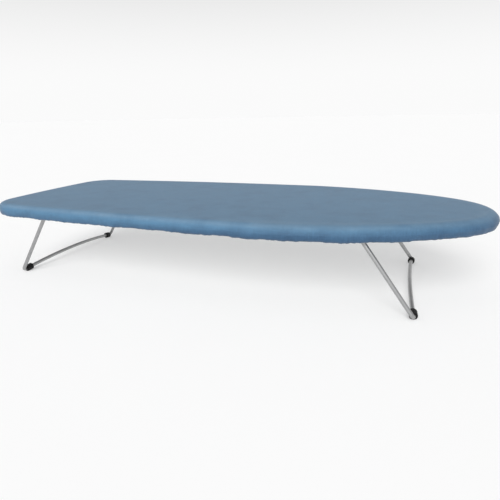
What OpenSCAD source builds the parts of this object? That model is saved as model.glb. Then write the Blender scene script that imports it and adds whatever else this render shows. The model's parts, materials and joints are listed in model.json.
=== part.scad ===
// Table-top ironing board: a padded, cloth-covered steel top on two folding wire legs.
// Millimetres, +Z up, +X towards the rounded nose.
// The origin is on the table, below the middle of the board.

/* [Board] */
// Length of the board, heel to nose
board_len = 730; // [560:5:1000]
// Greatest width of the board
board_w = 326; // [280:2:400]
// Height of the ironing surface above the table
board_h = 117; // [90:1:170]
// Thickness of the covered edge
edge_t = 18; // [16:0.5:24]
// Length of the nose, from the widest place to the tip
nose_len = 271; // [180:1:300]
// Fullness of the nose along its length
nose_power = 1.5; // [1.3:0.05:2.5]
// Fullness of the nose across its width
nose_round = 2.32; // [2:0.02:3]
// Radius of the heel corners
heel_corner_r = 51; // [25:1:70]
// Bow of the heel edge, as the angle where it meets a corner
heel_bow = 3.5; // [2:0.1:12]
// Flare of the sides, as their angle at the heel
side_flare = 5.7; // [3:0.1:9]

/* [Cover and pad] */
// Thickness of the cotton cover
cover_t = 1; // [0.6:0.1:1.6]
// Rounding of the covered top edge
top_edge_r = 5.5; // [2:0.5:5.5]
// Thickness of the foam pad
pad_t = 6; // [6:0.5:9]
// Width of the hem that turns in under the board
hem_w = 13; // [9:0.5:16]
// Width of the elastic's casing
casing_w = 5; // [4:0.5:7]
// Height of the elastic's casing
casing_h = 3.6; // [2.8:0.2:5]
// Width of the elastic
elastic_w = 3.2; // [2:0.1:3.6]
// Thickness of the elastic
elastic_t = 1.2; // [0.8:0.1:2]

/* [Steel top] */
// Thickness of the perforated panel
panel_t = 0.8; // [0.6:0.1:1.5]
// Thickness of the rim strip
rim_t = 1; // [0.8:0.1:1.5]
// Distance from the covered edge to the rim strip
rim_in = 2.6; // [1.6:0.1:4]
// Diameter of a steam hole
vent_d = 9; // [5:0.5:14]
// Distance between steam holes
vent_pitch = 34; // [24:1:60]
// Plain margin between the steam holes and the edge
vent_margin = 24; // [18:1:40]
// Width of a cross channel
channel_w = 34; // [30:1:50]
// Thickness of the channel steel
channel_t = 1; // [0.8:0.1:1.5]

/* [Legs] */
// Diameter of the leg wire
wire_d = 5.5; // [4:0.1:6]
// Bend radius on the wire's axis
bend_r = 5; // [4.2:0.1:8]
// Height of the pivots above the board's underside
pivot_rise = 0; // [-4:0.5:1]
// Distance from the heel edge to the heel leg's pivot
heel_pivot_in = 95; // [75:1:140]
// Width of the heel leg at its pivots
heel_leg_w = 231; // [150:1:236]
// Splay of the heel leg from upright
heel_splay = 31.6; // [15:0.5:40]
// Rise of the heel leg's crosspiece
heel_arch = 9.5; // [3:0.5:14]
// Distance from the nose tip to the nose leg's pivot
nose_pivot_in = 164; // [150:1:220]
// Width of the nose leg at its pivots
nose_leg_w = 234; // [150:1:238]
// Splay of the nose leg from upright
nose_splay = 35.9; // [15:0.5:40]
// Rise of the nose leg's crosspiece
nose_arch = 7; // [3:0.5:14]
// Outward lean of each upright
leg_lean = 2; // [0:0.1:4]
// Diameter of a rubber foot sleeve
sleeve_d = 10.5; // [8.5:0.1:14]
// Length of a rubber foot sleeve
sleeve_len = 11.5; // [8:0.5:20]
// Depth of the flat under each sleeve
sleeve_flat = 0.8; // [0.3:0.1:1.2]

/* [Brackets] */
// Thickness of the bracket steel
bracket_t = 1.5; // [1.2:0.1:2]
// Length of a bracket's base along the board
bracket_len = 30; // [26:1:30]
// Distance across a bracket's two ears
bracket_w = 15; // [12:0.5:20]
// Radius of the ear around the pivot bore
ear_r = 6.5; // [5:0.1:8]
// Radial clearance of the wire in a pivot bore
pivot_clear = 0.06; // [0.02:0.01:0.1]
// Gap between the leg and its open stop
stop_gap = 0.3; // [0.3:0.05:0.6]
// Distance from the pivot to the near edge of the stop
stop_start = 7; // [7:0.5:10]
// Length of the stop along the leg
stop_len = 3.5; // [3:0.5:8]
// Reach of the stop past the leg's axis
stop_reach = 4; // [3:0.5:6]
// Diameter of a retaining cap
cap_d = 9; // [8:0.1:11]
// Length of a retaining cap
cap_len = 3; // [2.6:0.1:5]
// Wall at the closed end of a retaining cap
cap_wall = 0.8; // [0.6:0.1:1.5]
// Diameter of a rivet shank
rivet_d = 3.2; // [2.4:0.1:4]
// Diameter of a rivet head
rivet_head_d = 5.6; // [4.6:0.1:7]
// Height of a rivet head
rivet_head_h = 1.1; // [0.8:0.1:1.6]

/* [Hidden] */
// Side clearance between a bracket ear and what turns beside it
ear_gap = 0.6;
// Clearance between the pivot wire and the bracket base above it
base_gap = 0.6;
// Least clearance between a retaining cap and the channel above it
cap_gap = 0.3;
// Steps that stand for the rounding of the top edge
edge_steps = 3;
// How much thinner the wire's radius is drawn at a bend, and how far a straight laps over it
bend_thin = 0.03;
bend_lap = 0.3;

underside_z = board_h - edge_t;
pad_top_z = board_h - cover_t;
panel_top_z = pad_top_z - pad_t;
panel_z = panel_top_z - panel_t;
rim_z = underside_z + cover_t;
pivot_z = underside_z + pivot_rise;
wire_r = wire_d / 2;
// Height of the bracket base above the pivot's axis, which clears both the wire and its cap
base_z = max(wire_r + base_gap, cap_d / 2 + cap_gap - bracket_t);
channel_z = pivot_z + base_z + bracket_t;
heel_pivot_x = heel_pivot_in - board_len / 2;
nose_pivot_x = board_len / 2 - nose_pivot_in;
centre_channel_x = (heel_pivot_x + nose_pivot_x) / 2;

// The half outline is a bow, a corner and a side that are tangent arcs, then a superellipse nose.
widest_x = board_len / 2 - nose_len;
bow_tan = tan(heel_bow / 2);
side_k = (widest_x + board_len / 2 - heel_corner_r - (board_w / 2 - heel_corner_r) * bow_tan)
    / (sin(side_flare) - (1 - cos(side_flare)) * bow_tan);
side_r = side_k + heel_corner_r;
corner_x = widest_x - side_k * sin(side_flare);
corner_y = board_w / 2 - heel_corner_r - side_k * (1 - cos(side_flare));
bow_r = heel_corner_r + corner_y / sin(heel_bow);
bow_x = corner_x + (bow_r - heel_corner_r) * cos(heel_bow);

function arc_points(x, y, r, from, to, steps) =
    [for (i = [0:steps]) let(a = from + (to - from) * i / steps) [x + r * cos(a), y + r * sin(a)]];

function nose_points(steps) =
    [for (i = [1:steps]) let(u = 90 * i / steps)
        [widest_x + nose_len * pow(sin(u), 2 / nose_power), board_w / 2 * pow(cos(u), 2 / nose_round)]];

function without_first(list) = [for (i = [1:len(list) - 1]) list[i]];

half_outline = concat(
    arc_points(bow_x, 0, bow_r, 180, 180 - heel_bow, 4),
    without_first(arc_points(corner_x, corner_y, heel_corner_r, 180 - heel_bow, 90 + side_flare, 7)),
    without_first(arc_points(widest_x, board_w / 2 - side_r, side_r, 90 + side_flare, 90, 6)),
    nose_points(16));
mirrored_half = [for (i = [len(half_outline) - 2:-1:1]) [half_outline[i][0], -half_outline[i][1]]];
outline = concat(half_outline, mirrored_half);

// Half width of the board at x
function half_width(x) =
    x < corner_x ? corner_y + sqrt(max(0, pow(heel_corner_r, 2) - pow(corner_x - x, 2)))
    : x < widest_x ? board_w / 2 - side_r + sqrt(pow(side_r, 2) - pow(x - widest_x, 2))
    : board_w / 2 * pow(max(0, 1 - pow((x - widest_x) / nose_len, nose_power)), 1 / nose_round);

module board_shape(inset) {
    offset(delta = -inset) polygon(outline);
}

module board_slab(z, h, inset) {
    translate([0, 0, z]) linear_extrude(h) board_shape(inset);
}

// A slab between two heights whose top edge steps in along a quarter circle
module soft_slab(z0, z1, inset) {
    for (k = [0:edge_steps]) {
        a = 90 * k / edge_steps;
        board_slab(z0, z1 - z0 - top_edge_r * (1 - sin(a)), inset + top_edge_r * (1 - cos(a)));
    }
}

// ---- Cover, pad and hem ----

module cover() {
    color([0.38, 0.47, 0.58])
    difference() {
        soft_slab(underside_z, board_h, 0);
        soft_slab(rim_z, pad_top_z, cover_t);
        board_slab(underside_z - 1, cover_t + 2, hem_w);
    }
}

module casing_ring(inset, w, h) {
    translate([0, 0, underside_z + cover_t / 2 - h / 2])
    linear_extrude(h) difference() {
        board_shape(inset);
        board_shape(inset + w);
    }
}

module hem_elastic_ring() {
    casing_ring(hem_w + (casing_w - elastic_w) / 2, elastic_w, elastic_t);
}

module hem_casing() {
    color([0.30, 0.42, 0.56])
    difference() {
        casing_ring(hem_w, casing_w, casing_h);
        hem_elastic_ring();
    }
}

module hem_elastic() {
    color("white") hem_elastic_ring();
}

module foam_pad() {
    color("ivory")
    soft_slab(panel_top_z, pad_top_z, cover_t);
}

// ---- Steel top ----

function is_clear_of_channels(x) =
    min([for (cx = [heel_pivot_x, centre_channel_x, nose_pivot_x]) abs(x - cx)])
        > channel_w / 2 + vent_d / 2 + 2;

function has_vent(x, y) =
    x > -board_len / 2 + vent_margin && x < board_len / 2 - vent_margin
    && abs(y) < half_width(x) - vent_margin && is_clear_of_channels(x);

module vents() {
    row_pitch = vent_pitch * sin(60);
    columns = ceil(board_len / row_pitch / 2);
    rows = ceil(board_w / vent_pitch / 2);
    for (i = [-columns:columns]) {
        for (j = [-rows:rows]) {
            x = i * row_pitch;
            y = (j + (i % 2 == 0 ? 0 : 0.5)) * vent_pitch;
            if (has_vent(x, y)) translate([x, y]) circle(d = vent_d, $fn = 32);
        }
    }
}

module top_panel() {
    color("gainsboro")
    translate([0, 0, panel_z]) linear_extrude(panel_t) difference() {
        board_shape(cover_t);
        vents();
    }
}

// A bent strip round the edge: its wall stands clear of the cover's and its flange backs the hem.
module rim_frame() {
    color("silver")
    difference() {
        board_slab(rim_z, panel_z - rim_z, rim_in);
        board_slab(rim_z + rim_t, panel_z, rim_in + rim_t);
        board_slab(rim_z - 1, rim_t + 2, hem_w);
    }
}

module cross_strip(x, w) {
    translate([x - w / 2, -board_w / 2]) square([w, board_w]);
}

// A shallow channel across the board, open towards the panel, with its ends against the rim
module cross_channel(x) {
    color("darkgray") {
        translate([0, 0, channel_z]) linear_extrude(channel_t) intersection() {
            board_shape(rim_in + rim_t);
            cross_strip(x, channel_w);
        }
        translate([0, 0, channel_z]) linear_extrude(panel_z - channel_z) intersection() {
            board_shape(rim_in + rim_t);
            union() {
                for (side = [-1, 1]) cross_strip(x + side * (channel_w - channel_t) / 2, channel_t);
            }
        }
    }
}

module riveted_channel(x, leg_w) {
    difference() {
        cross_channel(x);
        translate([x, 0, pivot_z]) for (side = [0, 1]) mirror([0, side, 0])
            rivet_places(leg_w) translate([0, 0, bracket_t - 1])
                cylinder(h = channel_t + 2, d = rivet_d, $fn = 48);
    }
}

// ---- Hinge brackets ----
// Each is drawn for the heel's left side, with the pivot's axis on the Y axis.

function ear_outer(leg_w) = leg_w / 2 - bend_r - ear_gap;
function ear_inner(leg_w) = ear_outer(leg_w) - bracket_w;

module along_y(from, to) {
    translate([0, to, 0]) rotate([90, 0, 0]) linear_extrude(to - from) children();
}

module open_leg_frame(splay) {
    rotate(-90 - splay) children();
}

module ear_shape(splay) {
    difference() {
        union() {
            polygon([[-bracket_len / 2, base_z + bracket_t], [-bracket_len / 2, base_z],
                [-ear_r, 0], [ear_r, 0], [bracket_len / 2, base_z], [bracket_len / 2, base_z + bracket_t]]);
            circle(r = ear_r, $fn = 64);
            open_leg_frame(splay) translate([0, -wire_r - stop_gap - bracket_t])
                square([stop_start + stop_len, wire_r + stop_gap + bracket_t + ear_r / 2]);
        }
        circle(r = wire_r + pivot_clear, $fn = 64);
        translate([-bracket_len, base_z + bracket_t]) square([2 * bracket_len, 2 * ear_r]);
    }
}

module rivet_places(leg_w) {
    for (side = [-1, 1])
        translate([side * bracket_len / 3, (ear_outer(leg_w) + ear_inner(leg_w)) / 2, base_z])
            children();
}

module bracket(leg_w, splay) {
    difference() {
        union() {
            along_y(ear_outer(leg_w) - bracket_t, ear_outer(leg_w)) ear_shape(splay);
            along_y(ear_inner(leg_w), ear_inner(leg_w) + bracket_t) ear_shape(splay);
            translate([-bracket_len / 2, ear_inner(leg_w), base_z])
                cube([bracket_len, bracket_w, bracket_t]);
            along_y(ear_outer(leg_w) - bracket_t, leg_w / 2 + stop_reach)
                open_leg_frame(splay) translate([stop_start, -wire_r - stop_gap - bracket_t])
                    square([stop_len, bracket_t]);
        }
        rivet_places(leg_w) translate([0, 0, -1]) cylinder(h = bracket_t + 2, d = rivet_d, $fn = 48);
    }
}

module rivet() {
    translate([0, 0, -rivet_head_h]) cylinder(h = rivet_head_h, d = rivet_head_d, $fn = 48);
    cylinder(h = bracket_t + channel_t, d = rivet_d, $fn = 48);
    translate([0, 0, bracket_t + channel_t]) cylinder(h = rivet_head_h, d = rivet_head_d, $fn = 48);
}

module rivet_set(leg_w) {
    color("lightgray")
    for (side = [0, 1]) mirror([0, side, 0]) rivet_places(leg_w) rivet();
}

// ---- Legs ----
// A leg is drawn in its own plane: u across the board, v up along the uprights, pivot axis on v = 0.

function arch_angle(leg_w, arch) = 2 * atan(arch / (leg_w / 2));
function corner_tangent(a) = bend_r * tan((90 + a + leg_lean) / 2);
// Height of the crosspiece's axis where a sleeve's outer end stands on the table
function sleeve_end_z(splay, a) = sleeve_d / 2 * cos(asin(sin(a) * cos(splay))) - sleeve_flat;
function cross_end_v(splay, a) = -(pivot_z - sleeve_end_z(splay, a)) / cos(splay);
function upright_len(splay, a) = -cross_end_v(splay, a) + corner_tangent(a) * sin(a);
function foot_half(leg_w, splay, a) = leg_w / 2 + upright_len(splay, a) * tan(leg_lean);
function cross_end_u(leg_w, splay, a) = foot_half(leg_w, splay, a) - corner_tangent(a) * cos(a);
function cross_r(leg_w, splay, a) = cross_end_u(leg_w, splay, a) / sin(a);

module in_leg_plane(splay) {
    rotate([0, splay, 0]) rotate([90, 0, 90]) children();
}

module straight(from, to, lap_from) {
    run = to - from;
    translate([from[0], from[1], 0]) rotate([0, 0, atan2(run[1], run[0])]) rotate([0, 90, 0])
        translate([0, 0, -lap_from]) cylinder(h = norm(run) + lap_from + bend_lap, d = wire_d, $fn = 48);
}

module ring_arc(centre, r, from, to) {
    translate([centre[0], centre[1], 0]) rotate([0, 0, from])
        rotate_extrude(angle = to - from, $fn = 96) translate([r, 0]) children();
}

module bend(centre, from, to) {
    ring_arc(centre, bend_r, from, to) circle(r = wire_r - bend_thin, $fn = 48);
}

module leg_side(leg_w, splay, a) {
    top_tangent = bend_r * tan((90 - leg_lean) / 2);
    stub_end = [ear_inner(leg_w) - ear_gap - (cap_len - cap_wall), 0];
    stub_start = [leg_w / 2 - top_tangent, 0];
    top_centre = stub_start - [0, bend_r];
    down = [sin(leg_lean), -cos(leg_lean)];
    across = [cos(leg_lean), sin(leg_lean)];
    corner = [foot_half(leg_w, splay, a), -upright_len(splay, a)];
    upright_top = top_centre + bend_r * across;
    upright_end = corner - corner_tangent(a) * down;
    straight(stub_end, stub_start, 0);
    bend(top_centre, leg_lean, 90);
    straight(upright_top, upright_end, bend_lap);
    bend(upright_end - bend_r * across, -90 - a, leg_lean);
}

module crosspiece_arc(leg_w, splay, a, from, to) {
    r = cross_r(leg_w, splay, a);
    ring_arc([0, cross_end_v(splay, a) - r * cos(a)], r, from, to) children();
}

module leg_wire(leg_w, splay, arch) {
    a = arch_angle(leg_w, arch);
    end_a = a + bend_lap / cross_r(leg_w, splay, a) * 180 / PI;
    color("silver") in_leg_plane(splay) {
        for (side = [0, 1]) mirror([side, 0, 0]) leg_side(leg_w, splay, a);
        crosspiece_arc(leg_w, splay, a, 90 - end_a, 90 + end_a) circle(d = wire_d, $fn = 48);
    }
}

// A rubber sleeve on the crosspiece, worn flat where it stands on the table
module foot_sleeve(leg_w, splay, arch) {
    a = arch_angle(leg_w, arch);
    sleeve_angle = sleeve_len / cross_r(leg_w, splay, a) * 180 / PI;
    color([0.08, 0.08, 0.08])
    difference() {
        in_leg_plane(splay) crosspiece_arc(leg_w, splay, a, 90 - a, 90 - a + sleeve_angle) difference() {
            circle(d = sleeve_d, $fn = 64);
            circle(d = wire_d, $fn = 48);
        }
        translate([-board_len, -board_w, -pivot_z - board_h]) cube([2 * board_len, 2 * board_w, board_h]);
    }
}

module pivot_caps(leg_w) {
    color("dimgray")
    for (side = [0, 1]) mirror([0, side, 0])
        translate([0, ear_inner(leg_w) - ear_gap, 0]) rotate([90, 0, 0]) difference() {
            cylinder(h = cap_len, d = cap_d, $fn = 64);
            translate([0, 0, -1]) cylinder(h = cap_len - cap_wall + 1, d = wire_d, $fn = 48);
        }
}

module at_heel_pivot(right) {
    translate([heel_pivot_x, 0, pivot_z]) mirror([0, right ? 1 : 0, 0]) children();
}

module at_nose_pivot(right) {
    translate([nose_pivot_x, 0, pivot_z]) mirror([1, 0, 0]) mirror([0, right ? 1 : 0, 0]) children();
}

module heel_bracket(right) {
    color("slategray") at_heel_pivot(right) bracket(heel_leg_w, heel_splay);
}

module nose_bracket(right) {
    color("slategray") at_nose_pivot(right) bracket(nose_leg_w, nose_splay);
}

cover();
hem_casing();
hem_elastic();
foam_pad();
top_panel();
rim_frame();
riveted_channel(heel_pivot_x, heel_leg_w);  // heel_channel
cross_channel(centre_channel_x);  // centre_channel
riveted_channel(nose_pivot_x, nose_leg_w);  // nose_channel
heel_bracket(false);  // heel_bracket_left
heel_bracket(true);  // heel_bracket_right
nose_bracket(false);  // nose_bracket_left
nose_bracket(true);  // nose_bracket_right
at_heel_pivot(false) rivet_set(heel_leg_w);  // heel_rivets
at_nose_pivot(false) rivet_set(nose_leg_w);  // nose_rivets
at_heel_pivot(false) leg_wire(heel_leg_w, heel_splay, heel_arch);  // heel_leg_wire
at_heel_pivot(false) foot_sleeve(heel_leg_w, heel_splay, heel_arch);  // heel_foot_left
at_heel_pivot(true) foot_sleeve(heel_leg_w, heel_splay, heel_arch);  // heel_foot_right
at_heel_pivot(false) pivot_caps(heel_leg_w);  // heel_pivot_caps
at_nose_pivot(false) leg_wire(nose_leg_w, nose_splay, nose_arch);  // nose_leg_wire
at_nose_pivot(false) foot_sleeve(nose_leg_w, nose_splay, nose_arch);  // nose_foot_left
at_nose_pivot(true) foot_sleeve(nose_leg_w, nose_splay, nose_arch);  // nose_foot_right
at_nose_pivot(false) pivot_caps(nose_leg_w);  // nose_pivot_caps
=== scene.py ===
"""Looks of a tabletop ironing board: its cotton cover, pad, hem, steel top, wire legs and rubber feet.

Every length is in metres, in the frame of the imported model: +Z up, +X towards the rounded nose, and the
origin on the table below the middle of the board.
"""
import json
import logging
from dataclasses import dataclass
from enum import Enum
from math import asin, atan, cos, pi, radians, sin, tan
from typing import Any, Dict, List, Mapping, Optional, Sequence, Tuple, Union

import bmesh
import bpy
import numpy as np
from mathutils import Matrix, Vector


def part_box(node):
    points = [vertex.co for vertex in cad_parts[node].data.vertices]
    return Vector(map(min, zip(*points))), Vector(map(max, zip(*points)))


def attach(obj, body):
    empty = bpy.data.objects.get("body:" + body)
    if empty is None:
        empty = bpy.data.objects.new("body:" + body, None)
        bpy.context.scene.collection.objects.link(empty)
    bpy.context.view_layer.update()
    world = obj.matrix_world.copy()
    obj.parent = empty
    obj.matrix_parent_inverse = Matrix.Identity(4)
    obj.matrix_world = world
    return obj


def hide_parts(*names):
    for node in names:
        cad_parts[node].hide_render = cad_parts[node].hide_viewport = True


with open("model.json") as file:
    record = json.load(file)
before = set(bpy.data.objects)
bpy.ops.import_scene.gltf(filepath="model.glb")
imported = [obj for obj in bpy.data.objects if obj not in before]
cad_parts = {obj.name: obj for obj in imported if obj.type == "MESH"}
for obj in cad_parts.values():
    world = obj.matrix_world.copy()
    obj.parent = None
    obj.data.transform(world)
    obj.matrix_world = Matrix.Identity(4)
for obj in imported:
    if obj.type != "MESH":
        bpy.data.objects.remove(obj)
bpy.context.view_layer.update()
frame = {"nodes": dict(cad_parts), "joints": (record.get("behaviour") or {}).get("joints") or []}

logging.basicConfig(level=logging.INFO, format="%(message)s")
LOG = logging.getLogger("ironing_board")

MM = 0.001
Triple = Tuple[float, float, float]
Colour = Triple
Face = Tuple[int, ...]


# ---- Shader maths ----


class Field:
    """A value that varies over a surface, on which ordinary arithmetic adds Math nodes."""

    def __init__(self, tree: "Tree", socket: bpy.types.NodeSocket) -> None:
        """Wraps one output socket of a tree."""
        self.tree = tree
        self.socket = socket

    def math(self, operation: str, *values: "Value") -> "Field":
        """Adds one Math node.

        Args:
            operation: the Math node's operation.
            values: its inputs, in order.

        Returns:
            The node's result.
        """
        return self.tree.node("ShaderNodeMath", {"operation": operation}, dict(enumerate(values)))

    def __add__(self, other: "Value") -> "Field":
        """self + other"""
        return self.math("ADD", self, other)

    def __radd__(self, other: "Value") -> "Field":
        """other + self"""
        return self.math("ADD", other, self)

    def __sub__(self, other: "Value") -> "Field":
        """self - other"""
        return self.math("SUBTRACT", self, other)

    def __rsub__(self, other: "Value") -> "Field":
        """other - self"""
        return self.math("SUBTRACT", other, self)

    def __mul__(self, other: "Value") -> "Field":
        """self * other"""
        return self.math("MULTIPLY", self, other)

    def __rmul__(self, other: "Value") -> "Field":
        """other * self"""
        return self.math("MULTIPLY", other, self)

    def sine(self) -> "Field":
        """The sine of the value, in radians."""
        return self.math("SINE", self)

    def at_most(self, limit: float) -> "Field":
        """The value, or the limit where that is less."""
        return self.math("MINIMUM", self, limit)

    def step(self, low: float, high: float) -> "Field":
        """A smooth step.

        Args:
            low: the value up to which the step is 0.
            high: the value from which it is 1.

        Returns:
            The step.
        """
        settings = {"interpolation_type": "SMOOTHSTEP", "clamp": True}
        inputs = {"Value": self, "From Min": low, "From Max": high}
        return self.tree.node("ShaderNodeMapRange", settings, inputs)


Value = Union[Field, float, Colour]


class Tree:
    """A node tree, to which any node is added in one way."""

    def __init__(self, tree: bpy.types.NodeTree) -> None:
        """Wraps the tree of a material or of a world."""
        self.tree = tree

    def add(
        self,
        kind: str,
        settings: Optional[Mapping[str, Any]] = None,
        inputs: Optional[Mapping[Union[str, int], Value]] = None,
    ) -> bpy.types.Node:
        """Adds any node.

        Args:
            kind: the node's type.
            settings: its properties, which are set first.
            inputs: the value or link of each socket, by name or by number.

        Returns:
            The node.
        """
        made = self.tree.nodes.new(kind)
        for key, setting in (settings or {}).items():
            setattr(made, key, setting)
        for key, value in (inputs or {}).items():
            self.plug(made.inputs[key], value)
        return made

    def node(
        self,
        kind: str,
        settings: Optional[Mapping[str, Any]] = None,
        inputs: Optional[Mapping[Union[str, int], Value]] = None,
        output: Union[str, int] = 0,
    ) -> Field:
        """Adds any node for the sake of one of its outputs.

        Args:
            kind: the node's type.
            settings: its properties, which are set first.
            inputs: the value or link of each socket, by name or by number.
            output: the socket to give back.

        Returns:
            The node's output.
        """
        return Field(self, self.add(kind, settings, inputs).outputs[output])

    def plug(self, socket: bpy.types.NodeSocket, value: Value) -> None:
        """Links a field to a socket, or sets the socket to a plain value.

        Args:
            socket: the input socket.
            value: the field, number or colour. A colour is taken as opaque where the socket has an alpha.
        """
        if isinstance(value, Field):
            self.tree.links.new(value.socket, socket)
        elif isinstance(value, tuple) and len(socket.default_value) == 4:
            socket.default_value = (*value, 1.0)
        else:
            socket.default_value = value

    def axes(self, coordinates: Field) -> Tuple[Field, Field, Field]:
        """Takes a place apart.

        Args:
            coordinates: the place.

        Returns:
            Its three coordinates, each as a value of its own.
        """
        split = self.node("ShaderNodeSeparateXYZ", inputs={0: coordinates}, output="X")
        outputs = split.socket.node.outputs
        return split, Field(self, outputs["Y"]), Field(self, outputs["Z"])


class Shader(Tree):
    """One finish: a Principled surface, fed by nodes for what varies over it."""

    def __init__(self, name: str, base: Colour, roughness: float, **constants: Any) -> None:
        """Starts a finish.

        Args:
            name: the material's name.
            base: the Base Color where nothing else is fed.
            roughness: the Roughness where nothing else is fed.
            constants: other sockets of the surface, with spaces as underscores.
        """
        self.material = bpy.data.materials.new(name)
        self.material.use_nodes = True
        super().__init__(self.material.node_tree)
        self.tree.nodes.clear()
        inputs = {"Base Color": base, "Roughness": roughness}
        inputs.update((socket.replace("_", " "), value) for socket, value in constants.items())
        self.surface = self.add("ShaderNodeBsdfPrincipled", inputs=inputs)
        self.add("ShaderNodeOutputMaterial", inputs={"Surface": Field(self, self.surface.outputs["BSDF"])})
        self.place = self.node("ShaderNodeTexCoord", output="Object")

    def noise(self, size: float, detail: float = 2.0, stretch: Triple = (1.0, 1.0, 1.0)) -> Field:
        """Soft noise from 0 to 1.

        Args:
            size: the width of its patches, in metres.
            detail: how many finer layers it has.
            stretch: how many times longer the patches are along each axis.

        Returns:
            The noise, about 0.5 on average.
        """
        scale = tuple(1.0 / (size * s) for s in stretch)
        place = self.node("ShaderNodeVectorMath", {"operation": "MULTIPLY"}, {0: self.place, 1: scale})
        inputs = {"Vector": place, "Scale": 1.0, "Detail": detail}
        return self.node("ShaderNodeTexNoise", inputs=inputs, output="Fac")

    def mark(self, name: str) -> Field:
        """A value that the mesh carries, which is 0 where it has none."""
        return self.node("ShaderNodeAttribute", {"attribute_name": name}, output="Fac")

    def mix(self, share: Value, low: Value, high: Value) -> Field:
        """A colour between two, by a share from 0 to 1."""
        return self.node("ShaderNodeMix", {"data_type": "RGBA"}, {0: share, 6: low, 7: high}, output=2)

    def tint(self, colour: Value, amount: Value) -> Field:
        """A colour made lighter or darker by an amount that varies."""
        return self.node("ShaderNodeVectorMath", {"operation": "SCALE"}, {0: colour, "Scale": amount})

    def feed(self, **varying: Field) -> "Shader":
        """Links fields to the surface's sockets.

        Args:
            varying: the field of each socket, by its name with spaces as underscores.

        Returns:
            This shader.
        """
        for socket, value in varying.items():
            self.plug(self.surface.inputs[socket.replace("_", " ")], value)
        return self

    def relief(self, height: Field, depth: float, strength: float = 1.0) -> "Shader":
        """Raises the surface by a height from 0 to 1 times a depth in metres."""
        inputs = {"Height": height, "Distance": depth, "Strength": strength}
        return self.feed(Normal=self.node("ShaderNodeBump", inputs=inputs, output="Normal"))


# ---- Finishes ----


@dataclass(frozen=True)
class Cotton:
    """Plain-woven cotton, piece-dyed blue, with uneven yarn and a soft bloom at a glancing angle.

    The mesh's mark "faded" is painted light. It gives the top and upper side the
    lighter, greyer lit colour, which is a painted sheen. It lets the darker shaded colour
    through towards the lower edge, at the two ends and under the board, which is painted shade.
    The mark "rubbed" is a painted highlight in a band along the rounded top edge.
    """

    name: str = "cotton"
    # The first two colours are darkened copies of the cloth's colour, for painted shade. The third is the lit
    # colour, greyed as a painted sheen. The fourth is the colour of a painted highlight.
    dye: Colour = (0.019, 0.062, 0.128)
    shaded_pale_dye: Colour = (0.034, 0.089, 0.165)
    lit_dye: Colour = (0.056, 0.146, 0.244)
    highlight_dye: Colour = (0.112, 0.200, 0.292)
    yarn_pitch: float = 0.62 * MM
    yarn_depth: float = 0.05 * MM

    def make(self) -> bpy.types.Material:
        """Builds the finish.

        Returns:
            The material, whose weave, slubs and mottling come from its place on the object.
        """
        shader = Shader(
            self.name, self.lit_dye, 0.7,
            Sheen_Weight=0.12, Sheen_Roughness=0.5, Sheen_Tint=(0.9, 0.92, 0.95), Specular_IOR_Level=0.4,
        )
        warp, weft, rise = ((axis * (2 * pi / self.yarn_pitch)).sine() for axis in shader.axes(shader.place))
        weave = (warp * weft + weft * rise + rise * warp) * 0.3 + 0.5
        long_slubs = shader.noise(0.9 * MM, 1.0, (16.0, 1.0, 1.0))
        cross_slubs = shader.noise(0.9 * MM, 1.0, (1.0, 14.0, 14.0))
        slubs = (long_slubs + cross_slubs) * 0.5
        mottle = shader.noise(34 * MM, 3.0)
        fade = shader.noise(5.0 * MM, 2.0).step(0.35, 0.75)
        drift = (mottle - 0.5) * 0.5 + (slubs - 0.5) * 0.9 + fade * 0.1
        # The shaded colour: the two darkened copies, mixed by the random drift. This is painted shade.
        shaded_colour = shader.mix(drift * 2.0 + 0.3, self.dye, self.shaded_pale_dye)
        patchy = shader.noise(16 * MM, 2.0, (1.6, 1.6, 0.7)) - 0.5
        # The share of the lit colour: painted sheen on the top and painted shade down the side, broken up by
        # random patches. A piece without the mark, such as the hem tunnel, keeps the shaded colour.
        worn = shader.mark("faded") * (1.0 + patchy * 0.9) + patchy * 0.25
        colour = shader.mix(worn, shaded_colour, self.lit_dye)
        # Painted highlight: a lighter colour laid in a band along the rounded top edge, broken up by random
        # patches.
        colour = shader.mix(shader.mark("rubbed") * (0.85 + patchy * 1.2), colour, self.highlight_dye)
        colour = shader.tint(colour, (weave * 0.16 + 0.92) * (1.0 + drift * 0.42))
        shader.feed(Base_Color=colour, Roughness=0.6 + slubs * 0.16)
        shader.relief(weave * 0.6 + slubs * 0.8, self.yarn_depth)
        return shader.material


@dataclass(frozen=True)
class Thread:
    """Polyester sewing thread: two plies twisted together."""

    name: str = "thread"
    dye: Colour = (0.05, 0.13, 0.24)
    ply_pitch: float = 0.5 * MM

    def make(self) -> bpy.types.Material:
        """Builds the finish.

        Returns:
            The material, with its plies aslant to the three axes.
        """
        shader = Shader(self.name, self.dye, 0.5, Sheen_Weight=0.3)
        x, y, z = shader.axes(shader.place)
        plies = ((x + y + z) * (2 * pi / self.ply_pitch)).sine() * 0.5 + 0.5
        shade = shader.mix(plies, tuple(0.6 * c for c in self.dye), tuple(1.5 * c for c in self.dye))
        shader.feed(Base_Color=shade, Roughness=0.4 + plies * 0.2)
        shader.relief(plies, 0.06 * MM)
        return shader.material


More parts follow.
